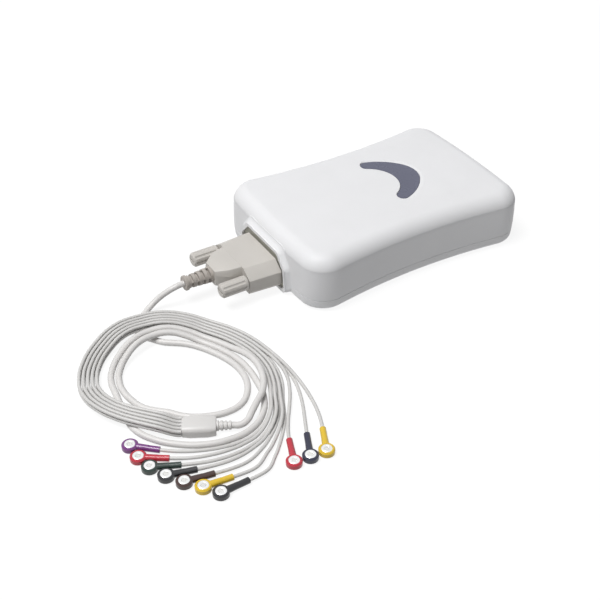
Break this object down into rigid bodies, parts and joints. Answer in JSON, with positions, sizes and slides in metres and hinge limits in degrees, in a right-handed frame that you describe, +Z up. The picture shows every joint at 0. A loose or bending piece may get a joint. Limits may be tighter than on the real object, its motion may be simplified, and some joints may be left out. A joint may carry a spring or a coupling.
{
  "type": "computer-connected ecg recorder",
  "caption": "Flat white recorder box with a crescent indicator lens, a screwed D-shaped patient connector, and a coiled patient cable that splits into leads with coloured snap connectors.",
  "frame": {"origin": "on the table, under the middle of the recorder with its connector's jack screws counted in", "axes": "+X across the recorder, +Y lengthwise away from the patient connector, +Z up; the cable lies on the table in front of the connector, towards -Y and +X"},
  "size_m": [0.1909, 0.2788, 0.0342],
  "materials": {
    "white_housing": "fine satin moulding texture",
    "grey_lens": "smoked translucent, smooth",
    "clear_guide": "clear moulded light guide",
    "led_resin": "encapsulated diodes",
    "circuit_board": "solder mask on glass laminate",
    "black_resin": "moulded packages",
    "tinned_steel": "tin plated pressing",
    "nickel_shell": "nickel plated deep drawn shell",
    "nickel_screws": "nickel plated turned brass",
    "zinc_screws": "zinc plated",
    "spring_steel": "sprung retaining ring",
    "gold_contacts": "gold flashed contacts",
    "spring_brass": "spring wire",
    "black_insulator": "glass filled insulator",
    "white_insulator": "glass filled insulator",
    "gasket_rubber": "grey olive sealing rubber",
    "black_rubber": "anti slip feet",
    "beige_hood": "warm grey moulded hood, fine texture",
    "beige_boot": "warm grey moulded strain relief",
    "cable_jacket": "soft off white jacket",
    "lead_jacket": "soft off white jacket",
    "nickel_snap": "nickel plated snap",
    "purple_head": "moulded, coloured through",
    "red_head": "moulded, coloured through",
    "green_head": "very dark green, moulded",
    "black_head": "moulded, coloured through",
    "brown_head": "dark brown, moulded",
    "yellow_head": "moulded, coloured through",
    "navy_head": "navy, nearly black, moulded"
  },
  "bodies": {
    "recorder": {"top_cover": "white_housing", "bottom_cover": "white_housing", "indicator_lens": "grey_lens", "light_guide": "clear_guide", "indicator_leds": "led_resin", "main_board": "circuit_board", "board_chips": "black_resin", "isolation_transformer": "black_resin", "shield_can": "tinned_steel", "connector_panel": "white_housing", "panel_gasket": "gasket_rubber", "socket_shell": "nickel_shell", "socket_insulator": "black_insulator", "socket_contacts": "gold_contacts", "jack_screws": "nickel_screws", "jack_nuts": "nickel_screws", "usb_shell": "tinned_steel", "usb_insulator": "white_insulator", "board_screws": "zinc_screws", "case_screws": "zinc_screws", "rubber_feet": "black_rubber"},
    "cable": {"plug_hood": "beige_hood", "cable_boot": "beige_boot", "plug_shell": "nickel_shell", "plug_insulator": "black_insulator", "plug_pins": "gold_contacts", "trunk_lead_in": "cable_jacket", "trunk_coil": "cable_jacket", "yoke": "cable_jacket", "yoke_boot": "cable_jacket", "lead_c6": "lead_jacket", "lead_c1": "lead_jacket", "lead_c3": "lead_jacket", "lead_c5": "lead_jacket", "lead_c4": "lead_jacket", "lead_c2": "lead_jacket", "lead_n": "lead_jacket", "lead_r": "lead_jacket", "lead_f": "lead_jacket", "lead_l": "lead_jacket", "snap_c6": "purple_head", "snap_c1": "red_head", "snap_c3": "green_head", "snap_c5": "black_head", "snap_c4": "brown_head", "snap_c2": "yellow_head", "snap_n": "black_head", "snap_r": "red_head", "snap_f": "navy_head", "snap_l": "yellow_head", "snap_sockets": "nickel_snap", "snap_springs": "spring_brass"},
    "clip_left": {"clip_left": "spring_steel"},
    "clip_right": {"clip_right": "spring_steel"},
    "thumbscrew_left": {"thumbscrew_left": "beige_hood"},
    "thumbscrew_right": {"thumbscrew_right": "beige_hood"}
  },
  "joints": [
    {"name": "cable_unplug", "type": "slide", "parent": "recorder", "child": "cable", "axis": [0, -1, 0], "range_m": [0, 0.014]},
    {"name": "clip_slide_left", "type": "slide", "parent": "cable", "child": "clip_left", "axis": [0, -1, 0], "range_m": [0, 0.0044]},
    {"name": "thumbscrew_turn_left", "type": "hinge", "parent": "clip_left", "child": "thumbscrew_left", "pos_m": [-0.01665, -0.0877, 0.0124], "axis": [0, -1, 0], "range_deg": [0, 2495]},
    {"name": "clip_slide_right", "type": "slide", "parent": "cable", "child": "clip_right", "axis": [0, -1, 0], "range_m": [0, 0.0044]},
    {"name": "thumbscrew_turn_right", "type": "hinge", "parent": "clip_right", "child": "thumbscrew_right", "pos_m": [0.01665, -0.0877, 0.0124], "axis": [0, -1, 0], "range_deg": [0, 2495]}
  ],
  "couplings": [
    {"joint": "thumbscrew_turn_left", "follows": "clip_slide_left", "rad_per_m": 9894.8},
    {"joint": "thumbscrew_turn_right", "follows": "clip_slide_right", "rad_per_m": 9894.8}
  ]
}
